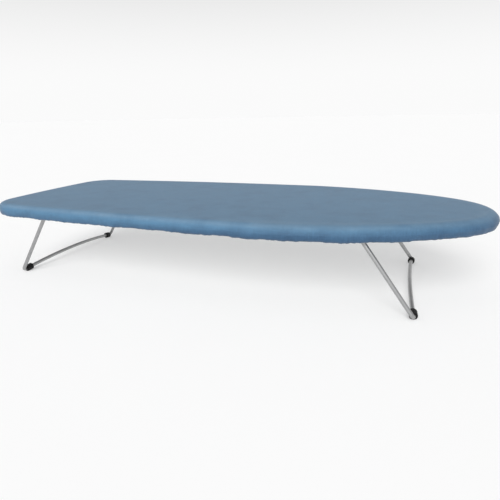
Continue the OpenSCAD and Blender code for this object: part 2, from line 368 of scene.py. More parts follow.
@dataclass(frozen=True)
class Webbing:
    """Off-white braided elastic, with fine cross ribs."""

    name: str = "webbing"
    dye: Colour = (0.62, 0.6, 0.55)
    rib_pitch: float = 1.1 * MM

    def make(self) -> bpy.types.Material:
        """Builds the finish.

        Returns:
            The material, with crossed ribs and grime in soft patches.
        """
        shader = Shader(self.name, self.dye, 0.75, Sheen_Weight=0.3)
        x, y, _ = shader.axes(shader.place)
        rising, falling = ((slant * (2 * pi / self.rib_pitch)).sine() for slant in (x + y, x - y))
        ribs = rising * falling * 0.5 + 0.5
        grime = shader.noise(12 * MM, 3.0)
        colour = shader.mix(grime, self.dye, tuple(0.8 * c for c in self.dye))
        shader.feed(Base_Color=shader.tint(colour, ribs * 0.3 + 0.7), Roughness=0.65 + grime * 0.25)
        shader.relief(ribs, 0.2 * MM)
        return shader.material


@dataclass(frozen=True)
class Foam:
    """Open-cell polyurethane foam, cream, with fine pores."""

    name: str = "foam"
    base: Colour = (0.63, 0.58, 0.44)
    pore: float = 0.9 * MM

    def make(self) -> bpy.types.Material:
        """Builds the finish.

        Returns:
            The material, with fine pores and a yellowing that drifts.
        """
        shader = Shader(self.name, self.base, 0.9, Subsurface_Weight=0.15, Subsurface_Scale=0.002)
        settings = {"feature": "F1", "distance": "EUCLIDEAN"}
        inputs = {"Vector": shader.place, "Scale": 1.0 / self.pore}
        cells = shader.node("ShaderNodeTexVoronoi", settings, inputs, "Distance")
        pores = cells.step(0.15, 0.55)
        yellowing = shader.noise(60 * MM, 2.0)
        colour = shader.mix(yellowing, self.base, (0.58, 0.48, 0.29))
        shader.feed(Base_Color=shader.tint(colour, pores * 0.45 + 0.55), Roughness=0.98 - pores * 0.12)
        shader.relief(pores, 0.35 * MM)
        return shader.material


@dataclass(frozen=True)
class CoatedSteel:
    """Sheet steel under a pale powder coat, with a slight orange peel and dust in soft patches."""

    name: str
    coat: Colour = (0.56, 0.57, 0.57)
    peel: float = 0.9 * MM

    def make(self) -> bpy.types.Material:
        """Builds the finish.

        Returns:
            The material, with peel, dark specks and patches of dust.
        """
        shader = Shader(self.name, self.coat, 0.42, Coat_Roughness=0.25)
        peel = shader.noise(self.peel, 1.0)
        specks = shader.noise(0.5 * MM, 0.0).step(0.66, 0.74)
        dust = shader.noise(45 * MM, 4.0).step(0.35, 0.8)
        colour = shader.mix(dust * 0.5, self.coat, (0.4, 0.39, 0.36))
        colour = shader.mix(specks * 0.4, colour, (0.22, 0.22, 0.22))
        shader.feed(Base_Color=colour, Roughness=0.36 + dust * 0.28, Coat_Weight=0.3 - dust * 0.2)
        shader.relief(peel, 0.03 * MM)
        return shader.material


@dataclass(frozen=True)
class PlatedSteel:
    """Bare metal look: drawn or pressed steel under bright plating that has dulled in patches."""

    name: str
    bright: Colour = (0.41, 0.412, 0.415)
    dull: Colour = (0.29, 0.292, 0.295)
    gloss: float = 0.3
    patch: float = 9 * MM

    def make(self) -> bpy.types.Material:
        """Builds the finish.

        Returns:
            The material, with dull patches, fine pits and faint scuffs.
        """
        shader = Shader(self.name, self.bright, self.gloss, Metallic=1.0)
        patches = shader.noise(self.patch, 3.0).step(0.3, 0.75)
        spangle = shader.noise(1.6 * MM, 2.0)
        pits = shader.noise(0.35 * MM, 1.0).step(0.64, 0.78)
        colour = shader.mix(patches * 0.35 + spangle * 0.2, self.bright, self.dull)
        colour = shader.mix(pits * 0.35, colour, (0.16, 0.155, 0.15))
        shader.feed(
            Base_Color=colour,
            Roughness=self.gloss + patches * 0.08 + spangle * 0.06 + pits * 0.15,
            Metallic=1.0 - pits * 0.2,
        )
        shader.relief(spangle * 0.5 + pits * -0.5, 0.02 * MM)
        return shader.material


@dataclass(frozen=True)
class Rubber:
    """Matt black moulded rubber, greyed where it is scuffed and dusty."""

    name: str = "rubber"
    base: Colour = (0.005, 0.005, 0.0055)
    dusty: Colour = (0.024, 0.0235, 0.0225)

    def make(self) -> bpy.types.Material:
        """Builds the finish.

        Returns:
            The material, dusty in patches and scuffed near the ground.
        """
        shader = Shader(self.name, self.base, 0.55, Specular_IOR_Level=0.22)
        grain = shader.noise(0.4 * MM, 2.0)
        dust = shader.noise(3.5 * MM, 4.0).step(0.42, 0.8)
        _, _, height = shader.axes(shader.place)
        scuff = 1.0 - height.step(0.2 * MM, 2.5 * MM)
        worn = (dust * 0.55 + scuff * grain * 0.6).at_most(1.0)
        colour = shader.mix(worn, self.base, self.dusty)
        shader.feed(Base_Color=colour, Roughness=0.45 + worn * 0.35 + grain * 0.1)
        shader.relief(grain, 0.05 * MM)
        return shader.material


@dataclass(frozen=True)
class StudioFloor:
    """A seamless pale studio sweep of translucent board, lit a little from below."""

    name: str = "studio_floor"
    base: Colour = (0.62, 0.62, 0.62)
    glow: float = 0.34

    def make(self) -> bpy.types.Material:
        """Builds the finish.

        Returns:
            The material, with a faint unevenness.
        """
        shader = Shader(
            self.name, self.base, 0.9,
            Specular_IOR_Level=0.0, Emission_Color=(1.0, 1.0, 1.0), Emission_Strength=self.glow,
        )
        paper = shader.noise(0.25, 2.0)
        shader.feed(Base_Color=shader.mix(paper, self.base, tuple(0.985 * c for c in self.base)))
        return shader.material


class Finish(Enum):
    """The finish of each kind of part on this board."""

    COTTON = Cotton()
    THREAD = Thread()
    WEBBING = Webbing()
    FOAM = Foam()
    PANEL = CoatedSteel("panel_enamel")
    RIM = CoatedSteel("rim_enamel", (0.5, 0.51, 0.52))
    WIRE = PlatedSteel("zinc_wire")
    BRACKET = PlatedSteel(
        "pressed_zinc", bright=(0.5, 0.505, 0.51), dull=(0.33, 0.335, 0.34), gloss=0.36, patch=6 * MM
    )
    RIVET = PlatedSteel(
        "rivet_zinc", bright=(0.66, 0.665, 0.67), dull=(0.46, 0.465, 0.47), gloss=0.25, patch=3 * MM
    )
    CAP = PlatedSteel(
        "blackened_cap", bright=(0.09, 0.09, 0.095), dull=(0.05, 0.05, 0.052), gloss=0.4, patch=3 * MM
    )
    RUBBER = Rubber()
    FLOOR = StudioFloor()

    def material(self) -> bpy.types.Material:
        """The finish's material, which is made once."""
        return bpy.data.materials.get(self.value.name) or self.value.make()


# ---- Mesh work ----


def grid_faces(rows: int, columns: int, wrap_rows: bool, wrap_columns: bool, start: int = 0) -> List[Face]:
    """Quads over a grid of points that is stored row by row.

    Args:
        rows: how many rows.
        columns: how many points a row.
        wrap_rows: whether the last row joins the first.
        wrap_columns: whether a row's last point joins its first.
        start: the number of the grid's first point.

    Returns:
        The quads.
    """
    def number(i: int, j: int) -> int:
        """The number of the point in row i and column j."""
        return start + (i % rows) * columns + j % columns

    row_steps = rows if wrap_rows else rows - 1
    column_steps = columns if wrap_columns else columns - 1
    return [
        (number(i, j), number(i, j + 1), number(i + 1, j + 1), number(i + 1, j))
        for i in range(row_steps)
        for j in range(column_steps)
    ]


def make_piece(
    name: str,
    points: np.ndarray,
    faces: List[Face],
    sharp_angle: float = 50.0,
    marks: Optional[Mapping[str, np.ndarray]] = None,
) -> bpy.types.Object:
    """Makes a mesh piece, with its doubled points merged, its normals outward and its shading smooth.

    Args:
        name: the piece's name.
        points: its points, in any array whose last axis is X, Y and Z.
        faces: its faces.
        sharp_angle: the angle in degrees past which an edge stays sharp.
        marks: named values, one a point, that the finish may read.

    Returns:
        The linked object.
    """
    mesh = bpy.data.meshes.new(name)
    mesh.from_pydata(points.reshape(-1, 3).tolist(), [], faces)
    for mark, values in (marks or {}).items():
        layer = mesh.attributes.new(mark, "FLOAT", "POINT")
        layer.data.foreach_set("value", values.astype(np.float32).ravel())
    work = bmesh.new()
    work.from_mesh(mesh)
    bmesh.ops.remove_doubles(work, verts=work.verts, dist=1e-3 * MM)
    bmesh.ops.recalc_face_normals(work, faces=work.faces)
    work.to_mesh(mesh)
    work.free()
    mesh.shade_smooth()
    mesh.set_sharp_from_angle(angle=radians(sharp_angle))
    piece = bpy.data.objects.new(name, mesh)
    bpy.context.scene.collection.objects.link(piece)
    return piece


def dress(piece: bpy.types.Object, finish: Finish) -> None:
    """Gives a piece its one finish.

    Args:
        piece: the piece.
        finish: the finish that takes the place of any other.
    """
    piece.data.materials.clear()
    piece.data.materials.append(finish.material())
    for polygon in piece.data.polygons:
        polygon.material_index = 0


def surface_normals(points: np.ndarray) -> np.ndarray:
    """Unit normals of a grid that wraps along its columns.

    Args:
        points: an array of rows, columns and three coordinates.

    Returns:
        One normal a point, outward where the columns go clockwise and the rows go outward and down.
    """
    along = np.roll(points, -1, axis=1) - np.roll(points, 1, axis=1)
    down = np.gradient(points, axis=0)
    normal = np.cross(along, down)
    return normal / np.maximum(np.linalg.norm(normal, axis=2, keepdims=True), 1e-12)


def smooth_step(value: np.ndarray, start: float, end: float) -> np.ndarray:
    """A smooth step from 0 where the value is at the start to 1 where it is at the end."""
    share = np.clip((value - start) / (end - start), 0, 1)
    return share * share * (3 - 2 * share)


def ripple(count: int, low: int, high: int, waves: int, seed: int) -> np.ndarray:
    """A closed random wave.

    Args:
        count: how many samples go round.
        low: the fewest cycles that a part of it makes in one round.
        high: the most.
        waves: how many parts it is the sum of.
        seed: the seed of its phases.

    Returns:
        The samples, mostly from -1 to 1.
    """
    random = np.random.RandomState(seed)
    cycles = random.randint(low, high + 1, waves)
    phases = random.uniform(0, 2 * pi, waves)
    sizes = random.uniform(0.5, 1.0, waves)
    turn = np.linspace(0, 2 * pi, count, endpoint=False)
    wave = (sizes[:, None] * np.cos(cycles[:, None] * turn + phases[:, None])).sum(0)
    return wave / (1.6 * np.sqrt((sizes**2).sum() / 2))


@dataclass(frozen=True)
class Outline:
    """The board's plan: tangent arcs for the heel, its corners and the sides, and a superellipse nose."""

    length: float
    width: float
    nose_len: float = 271 * MM
    nose_power: float = 1.5
    nose_round: float = 2.32
    corner_r: float = 51 * MM
    heel_bow: float = radians(3.5)
    side_flare: float = radians(5.7)

    def half(self, steps: int = 1500) -> np.ndarray:
        """Close points along the +Y half, from the middle of the heel to the tip of the nose.

        Args:
            steps: how many points each arc has.

        Returns:
            The points.
        """
        widest_x = self.length / 2 - self.nose_len
        bow_tan = tan(self.heel_bow / 2)
        side_k = (widest_x + self.length / 2 - self.corner_r - (self.width / 2 - self.corner_r) * bow_tan) / (
            sin(self.side_flare) - (1 - cos(self.side_flare)) * bow_tan
        )
        side_r = side_k + self.corner_r
        corner = np.array([
            widest_x - side_k * sin(self.side_flare),
            self.width / 2 - self.corner_r - side_k * (1 - cos(self.side_flare)),
        ])
        bow_r = self.corner_r + corner[1] / sin(self.heel_bow)
        bow_x = corner[0] + (bow_r - self.corner_r) * cos(self.heel_bow)

        def arc(centre: Sequence[float], radius: float, start: float, end: float) -> np.ndarray:
            """Points along an arc, between two angles."""
            angle = np.linspace(start, end, steps)
            return np.stack([centre[0] + radius * np.cos(angle), centre[1] + radius * np.sin(angle)], 1)

        u = np.linspace(0, pi / 2, 2 * steps)
        nose = np.stack([
            widest_x + self.nose_len * np.sin(u) ** (2 / self.nose_power),
            self.width / 2 * np.maximum(np.cos(u), 0) ** (2 / self.nose_round),
        ], 1)
        parts = [
            arc((bow_x, 0), bow_r, pi, pi - self.heel_bow),
            arc(corner, self.corner_r, pi - self.heel_bow, pi / 2 + self.side_flare)[1:],
            arc((widest_x, self.width / 2 - side_r), side_r, pi / 2 + self.side_flare, pi / 2)[1:],
            nose[1:],
        ]
        return np.concatenate(parts)

    def loop(self, count: int) -> Tuple[np.ndarray, np.ndarray]:
        """Evenly spaced points round the plan, clockwise from the middle of the heel.

        Args:
            count: how many points, which is even.

        Returns:
            The points and their outward unit normals.
        """
        half = self.half()
        run = np.concatenate([[0], np.cumsum(np.linalg.norm(np.diff(half, axis=0), axis=1))])
        even = np.linspace(0, run[-1], count // 2 + 1)
        side = np.stack([np.interp(even, run, half[:, k]) for k in (0, 1)], 1)
        points = np.concatenate([side, side[-2:0:-1] * [1, -1]])
        along = np.roll(points, -1, axis=0) - np.roll(points, 1, axis=0)
        along /= np.linalg.norm(along, axis=1, keepdims=True)
        return points, np.stack([-along[:, 1], along[:, 0]], 1)

    def middle_line(self, plan: np.ndarray, reach: float) -> np.ndarray:
        """The point of the middle line that each point of the plan closes in on.

        Args:
            plan: points of the plan.
            reach: how far the line stays from the heel. It stays a little further from the nose.

        Returns:
            One point of the middle line for each.
        """
        x = np.clip(plan[:, 0], -self.length / 2 + reach, self.length / 2 - reach * 1.05)
        return np.column_stack([x, np.zeros(len(plan))])


# ---- Cover, hem and pad ----


@dataclass
class CottonCover:
    """The cotton cover, with the hem that its elastic draws in under the board."""

    outline: Outline
    top_z: float
    under_z: float
    columns: int = 840
    cloth_t: float = 0.8 * MM
    heel_edge: Triple = (9.5 * MM, 6.5 * MM, 4.5 * MM)
    nose_edge: Triple = (15 * MM, 9 * MM, 6.5 * MM)
    hem_w: float = 13 * MM
    top_rows: int = 9
    plump: float = 0.35 * MM
    side_bulge: float = 0.5 * MM
    gather_depth: float = 0.8 * MM
    billow: float = 0.7 * MM
    fold_depth: float = 0.28 * MM
    droop: float = 0.5 * MM
    slack_droop: float = 1.1 * MM
    settle_frames: int = 16
    most_settling: float = 0.9 * MM
    swell: float = 0.1 * MM
    swell_waves: Triple = (61, 23, 74)

    def __post_init__(self) -> None:
        """Works out the plan and the waves that every row shares. Building the cover sets its hem's edge."""
        self.hem_edge: Optional[np.ndarray] = None
        self.plan, self.outward = self.outline.loop(self.columns)
        turning = np.linalg.norm(np.roll(self.outward, -1, axis=0) - np.roll(self.outward, 1, axis=0), axis=1)
        smooth = np.convolve(np.tile(turning, 3), np.hanning(41) / np.hanning(41).sum(), "same")
        bend = smooth[self.columns:2 * self.columns]
        uneven = ripple(self.columns, low=3, high=19, waves=8, seed=11)
        fullness = 0.55 + 0.45 * bend / bend.max() + 0.25 * uneven
        pleats = ripple(self.columns, low=170, high=290, waves=40, seed=5)
        self.gathers = np.clip(fullness, 0.25, 1.2) * pleats
        self.billows = ripple(self.columns, low=9, high=46, waves=16, seed=23)
        self.folds = [ripple(self.columns, low=48, high=125, waves=26, seed=seed) for seed in (41, 43)]
        along = self.plan[:, 0] / self.outline.length
        self.towards_nose = smooth_step(along, -0.22, 0.2)
        slack = np.exp(-(((along - 0.23) / 0.12) ** 2))
        sag = ripple(self.columns, low=4, high=15, waves=8, seed=61)
        self.droops = self.droop * (1 + 0.5 * sag) + self.slack_droop * slack

    def profile(self) -> np.ndarray:
        """The cloth's section at every column, from the flat top round to the hem.

        Returns:
            Insets and heights, in an array of rows, columns and two.
        """
        nose = self.towards_nose
        reach, drop, low = (h + (n - h) * nose for h, n in zip(self.heel_edge, self.nose_edge))
        high_z = self.top_z + self.plump

        def rows(inset: np.ndarray, height: np.ndarray) -> np.ndarray:
            """Rows of the section, of an inset and a height."""
            return np.stack(np.broadcast_arrays(inset, height), 2)

        tilt = np.linspace(0, pi / 2, 12)[:, None]
        top = rows(reach * (1 - np.sin(tilt)), high_z - drop * (1 - np.cos(tilt)))
        share = np.linspace(0, 1, 6)[1:-1, None]
        side_z = (high_z - drop) * (1 - share) + (self.under_z + low) * share
        side = rows(-self.side_bulge * np.sin(pi * share), side_z)
        turn = np.linspace(0, pi / 2, 7)[:, None]
        bottom = rows(low * (1 - np.cos(turn)), self.under_z + low * (1 - np.sin(turn)))
        share = np.linspace(0, 1, 9)[1:, None]
        hem = rows(low + (self.hem_w - low) * share, self.under_z + 0 * share)
        return np.concatenate([top, side, bottom, hem])

    def marks(self) -> Dict[str, np.ndarray]:
        """How much lit colour the cloth gets, painted sheen over painted shade, and how much painted
        highlight.

        Returns:
            Each mark's values from 0 to 1, one a point of the whole shell.
        """
        section = self.profile()
        height = (section[..., 1] - self.under_z) / (self.top_z - self.under_z)
        beneath = (section[..., 0] > self.nose_edge[2]) & (height < 0.3)
        nose = self.towards_nose
        # Painted shade: the lit share falls towards the lower edge, from higher up the side towards the nose.
        # It also falls at the two ends, where the side faces along the board. The hem under the board stays
        # shaded.
        faded = smooth_step(height, -0.15 + 0.35 * nose, 0.72 + 0.16 * nose)
        faded = faded * (1 - 0.8 * np.abs(self.outward[:, 0]) * smooth_step(height, 1.0, 0.8)) * ~beneath
        # Painted highlight in a band near the top of the side. It is weaker at the two ends and absent under
        # the board. Along the top's edge row it grows towards the nose.
        rubbed = np.exp(-(((height - 0.9) / 0.17) ** 2)) * (1 - 0.75 * np.abs(self.outward[:, 0])) * ~beneath
        rubbed[0] = 0.1 + 0.3 * nose
        # The flat top takes the full lit colour, a painted sheen, and no highlight.
        blank = np.ones((self.top_rows, self.columns))
        outer = {"faded": np.concatenate([blank, faded]), "rubbed": np.concatenate([0 * blank, rubbed])}
        return {name: np.concatenate([values, values[::-1]]) for name, values in outer.items()}

    def band(self) -> np.ndarray:
        """The cloth round the edge, gathered but not yet settled.

        Returns:
            Rows of points, from the flat top to the hem.
        """
        section = self.profile()
        inset, height = section[..., :1], section[..., 1:]
        points = np.concatenate([self.plan[None] - inset * self.outward[None], height], 2)
        normals = surface_normals(points)
        run = np.linalg.norm(np.diff(section.mean(1), axis=0), axis=1).cumsum()
        run = np.append(0, run / run[-1])[:, None]
        gathered = np.clip((run - 0.55) / 0.45, 0, 1) ** 1.2
        loose = smooth_step(run, 0.3, 0.6) * smooth_step(run, 1.0, 0.72)
        lean = 3 * pi * run
        folds = np.cos(lean) * self.folds[0] + np.sin(lean) * self.folds[1]
        depth = self.gather_depth * gathered * (self.gathers + 0.2)
        depth = depth + loose * (self.billow * (self.billows + 0.3) + self.fold_depth * folds)
        points = points + normals * np.maximum(depth, -0.3 * MM)[..., None]
        points[..., 2] -= self.droops * smooth_step(run, 0.35, 0.68) * (1 - 0.8 * smooth_step(run, 0.74, 1.0))
        return points

    def settle(self, band: np.ndarray) -> np.ndarray:
        """Lets the band settle as cloth, held at the pad's top and by the elastic.

        Args:
            band: the gathered band's points.

        Returns:
            The settled points, none of them further than the most settling from where it was.
        """
        rows, columns = band.shape[:2]
        mesh = bpy.data.meshes.new("settling")
        mesh.from_pydata(band.reshape(-1, 3).tolist(), [], grid_faces(rows, columns, False, True))
        cloth = bpy.data.objects.new("settling", mesh)
        bpy.context.scene.collection.objects.link(cloth)
        held = cloth.vertex_groups.new(name="held")
        for row in range(rows):
            weight = {0: 1.0, 1: 0.8, 2: 0.4, rows - 2: 0.6, rows - 1: 1.0}.get(row, 0.0)
            if weight:
                held.add(list(range(row * columns, (row + 1) * columns)), weight, "REPLACE")
        settings = cloth.modifiers.new("cloth", "CLOTH").settings
        settings.vertex_group_mass = "held"
        settings.quality = 6
        settings.mass = 0.15
        settings.tension_stiffness = 18
        settings.compression_stiffness = 12
        settings.shear_stiffness = 4
        settings.bending_stiffness = 0.35
        settings.use_pressure = True
        settings.uniform_pressure_force = 3.0
        settings.effector_weights.gravity = 0
        scene = bpy.context.scene
        for step in range(1, self.settle_frames + 1):
            scene.frame_set(step)
        shape = cloth.evaluated_get(bpy.context.evaluated_depsgraph_get())
        settled = np.zeros(rows * columns * 3, np.float32)
        shape.data.vertices.foreach_get("co", settled)
        scene.frame_set(1)
        bpy.data.objects.remove(cloth)
        move = settled.reshape(band.shape).astype(float) - band
        size = np.linalg.norm(move, axis=2, keepdims=True)
        LOG.info("settled: mean %.2f mm, most %.2f mm", size.mean() / MM, size.max() / MM)
        inward = -(move * surface_normals(band)).sum(2, keepdims=True)
        move += surface_normals(band) * np.maximum(inward - 0.1 * MM, 0)
        size = np.maximum(np.linalg.norm(move, axis=2, keepdims=True), 1e-12)
        return band + move * np.minimum(1, self.most_settling / size)

    def top(self, rim: np.ndarray) -> np.ndarray:
        """The flat top, which swells a little between the edge and the middle.

        Args:
            rim: the band's first row.

        Returns:
            Rows of points that go from the middle line out to the rim.
        """
        middle = self.outline.middle_line(self.plan, self.outline.width / 2 - self.nose_edge[0])
        shares = np.linspace(1, 0, self.top_rows + 1)[:-1] ** 1.15
        flat = rim[None, :, :2] + shares[:, None, None] * (middle - rim[:, :2])[None]
        long_wave, sway, cross_wave = self.swell_waves
        swell = self.swell * np.sin(flat[..., 0] * long_wave + 3 * np.sin(flat[..., 1] * sway))
        swell = swell * np.cos(flat[..., 1] * cross_wave)
        fade = np.clip((1 - np.abs(1 - 2 * shares)), 0, 1)[:, None]
        return np.concatenate([flat, (rim[None, :, 2] + swell * fade)[..., None]], 2)

    def build(self) -> bpy.types.Object:
        """Makes the cover.

        Returns:
            The cover, riding on the board in place of its plain solid.
        """
        band = self.settle(self.band())
        outer = np.concatenate([self.top(band[0]), band])
        normals = surface_normals(outer)
        normals[: self.top_rows] = (0, 0, 1)
        inner = outer - self.cloth_t * normals
        self.hem_edge = band[-1]
        shell = np.concatenate([outer, inner[::-1]])
        faces = grid_faces(len(shell), self.columns, False, True)
        cover = make_piece("cotton_cover", shell, faces, marks=self.marks())
        dress(cover, Finish.COTTON)
        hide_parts("cover")
        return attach(cover, "board")


@dataclass
class HemTunnel:
    """What draws the hem in: the gathered tunnel, its line of stitches and the elastic inside."""

    cover: CottonCover
    width: float = 5 * MM
    height: float = 3.6 * MM
    cloth_t: float = 0.5 * MM
    columns: int = 1260
    ring_points: int = 16
    mouth: int = 9
    pucker: float = 0.2
    elastic_w: float = 3.2 * MM
    elastic_t: float = 1.2 * MM
    stitch_len: float = 2.6 * MM
    stitch_gap: float = 1.0 * MM
    thread_r: float = 0.22 * MM
    stitch_inset: float = 0.9 * MM

    def __post_init__(self) -> None:
        """Works out the plan and the puckers, which follow the gathers of the hem."""
        self.plan, self.outward = self.cover.outline.loop(self.columns)
        self.puckers = ripple(self.columns, low=250, high=380, waves=50, seed=31)
        self.middle = self.cover.hem_w + self.width / 2
        turn = np.linspace(0, self.cover.columns, self.columns, endpoint=False)
        edge_z = self.cover.hem_edge[:, 2]
        self.edge_z = np.interp(turn, np.arange(self.cover.columns + 1), np.append(edge_z, edge_z[0]))

    def _ring(self, inset: np.ndarray, height: np.ndarray, columns: slice = slice(None)) -> np.ndarray:
        """Points at an inset from the outline and a height, for every column of the plan."""
        flat = self.plan[columns][None] - inset[..., None] * self.outward[columns][None]
        return np.concatenate([flat, height[..., None]], 2)

    def tunnel(self) -> bpy.types.Object:
        """Makes the tunnel, left open at the heel, where the elastic was threaded in.

        Returns:
            The tunnel, riding on the board in place of its plain casing.
        """
        angle = np.linspace(0, 2 * pi, self.ring_points, endpoint=False)[:, None]
        open_end = slice(self.mouth, self.columns - self.mouth)
        pucker = self.puckers[None, open_end]
        loose = 0.5 - 0.5 * np.cos(angle - pi)
        mid_z = self.cover.under_z + self.cover.cloth_t * 0.6
        walls = []
        for skin in (0.0, self.cloth_t):
            swell = 1 + self.pucker * pucker * (0.35 + 0.65 * loose)
            inset = self.middle - (self.width / 2 * 1.04 - skin) * np.cos(angle) * (1 + 0.35 * (swell - 1))
            height = mid_z + (self.height / 2 - skin) * np.sin(angle) * swell
            walls.append(self._ring(inset, height, open_end))
        columns = walls[0].shape[1]
        count = self.ring_points
        faces = grid_faces(count, columns, True, False)
        faces += grid_faces(count, columns, True, False, start=count * columns)
        for column in (0, columns - 1):
            for row in range(count):
                pair = (row * columns + column, ((row + 1) % count) * columns + column)
                faces.append((pair[0], pair[1], pair[1] + count * columns, pair[0] + count * columns))
        piece = make_piece("hem_tunnel", np.concatenate(walls), faces)
        dress(piece, Finish.COTTON)
        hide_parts("hem_casing")
        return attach(piece, "board")

    def elastic(self) -> bpy.types.Object:
        """Makes the elastic: a flat braid with five cords along it.

        Returns:
            The elastic, riding on the board in place of its plain ring.
        """
        angle = np.linspace(0, 2 * pi, 40, endpoint=False)
        across = np.sign(np.cos(angle)) * np.abs(np.cos(angle)) ** 0.6
        cords = 1 + 0.16 * np.cos(5 * pi * across)
        thick = np.sign(np.sin(angle)) * np.abs(np.sin(angle)) ** 0.5 * cords
        inset = (self.middle + across * (self.elastic_w / 2 - 0.1 * MM))[:, None] + np.zeros(self.columns)
        mid_z = self.cover.under_z + self.cover.cloth_t * 0.6
        height = (mid_z + thick * self.elastic_t / 2 * 0.85)[:, None] + 0.12 * MM * self.puckers[None]
        points = self._ring(inset, height)
        piece = make_piece("hem_elastic_braid", points, grid_faces(len(points), self.columns, True, True))
        dress(piece, Finish.WEBBING)
        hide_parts("hem_elastic")
        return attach(piece, "board")

    def stitches(self) -> bpy.types.Object:
        """Makes the line of lockstitch that closes the tunnel.

        Returns:
            The stitches, riding on the board.
        """
        length = np.linalg.norm(np.roll(self.plan, -1, axis=0) - self.plan, axis=1)
        run = np.concatenate([[0], np.cumsum(length)])
        pitch = self.stitch_len + self.stitch_gap
        count = int(run[-1] / pitch)
        inset = self.cover.hem_w - self.stitch_inset
        points: List[np.ndarray] = []
        faces: List[Face] = []
        sides, rings = 6, 7
        turn = np.linspace(0, 2 * pi, sides, endpoint=False)
        wrap = np.append(np.arange(self.columns), 0)
        for stitch in range(count):
            along = (stitch + 0.5) * run[-1] / count + self.stitch_len * np.linspace(-0.5, 0.5, rings)
            at = np.stack([np.interp(along, run, self.plan[wrap, k]) for k in (0, 1)], 1)
            out = np.stack([np.interp(along, run, self.outward[wrap, k]) for k in (0, 1)], 1)
            low = np.interp(along, run, self.edge_z[wrap])
            arch = 1 - np.linspace(-1, 1, rings) ** 4
            radius = self.thread_r * np.maximum(arch, 0.3) ** 0.5
            height = low + self.thread_r * (0.9 - 1.5 * arch)
            start = len(points) * sides * rings
            ring_out = at - inset * out
            reach = np.outer(radius, np.cos(turn))
            flat = ring_out[:, None] + reach[..., None] * out[:, None]
            rise = height[:, None] + np.outer(radius, np.sin(turn))
            section = np.concatenate([flat, rise[..., None]], 2)
            points.append(section.reshape(-1, 3))
            faces += grid_faces(rings, sides, False, True, start)
            faces.append(tuple(start + k for k in range(sides)))
            faces.append(tuple(start + (rings - 1) * sides + k for k in range(sides)))
        piece = make_piece("hem_stitching", np.concatenate(points), faces)
        dress(piece, Finish.THREAD)
        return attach(piece, "board")


@dataclass
class FoamLayer:
    """The foam between the steel top and the cover, rounded along its top edge."""

    outline: Outline
    low_z: float
    high_z: float
    inset: float = 1.3 * MM
    edge_reach: float = 10 * MM
    edge_drop: float = 5.3 * MM
    columns: int = 420
    rows: int = 8

    def build(self) -> bpy.types.Object:
        """Makes the pad.

        Returns:
            The pad, riding on the board in place of its plain solid.
        """
        plan, outward = self.outline.loop(self.columns)
        top = self.high_z - 0.15 * MM
        section = [
            (self.inset + self.edge_reach * (1 - sin(a)), top - self.edge_drop * (1 - cos(a)))
            for a in np.linspace(0, pi / 2, 8)
        ]
        section += [(self.inset + 0.2 * MM, self.low_z + 0.5 * MM), (self.inset + 0.7 * MM, self.low_z)]
        bulge = 0.15 * MM * ripple(self.columns, low=7, high=40, waves=12, seed=3)
        edge = []
        for inset, z in section:
            at = inset - bulge * (inset < self.edge_reach / 2)
            edge.append(np.column_stack([plan - at[:, None] * outward, np.full(self.columns, z)]))
        middle = self.outline.middle_line(plan, self.outline.width / 2)

        def closing(rim: np.ndarray) -> np.ndarray:
            """A flat face of the pad.

            Args:
                rim: the row of points that it ends at.

            Returns:
                Rows from the middle line out to the rim, at the rim's height.
            """
            shares = np.linspace(1, 0, self.rows + 1)[:-1]
            flat = rim[None, :, :2] + shares[:, None, None] * (middle - rim[:, :2])[None]
            return np.concatenate([flat, np.broadcast_to(rim[None, :, 2:], flat.shape[:2] + (1,))], 2)

        points = np.concatenate([closing(edge[0]), np.array(edge), closing(edge[-1])[::-1]])
        pad = make_piece("foam_layer", points, grid_faces(len(points), self.columns, False, True))
        dress(pad, Finish.FOAM)
        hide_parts("foam_pad")
        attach(pad, "board")
        return pad


# ---- Legs ----


class End(Enum):
    """Which end of the board a leg is at, by the direction that its foot leans in."""

    HEEL = -1
    NOSE = 1


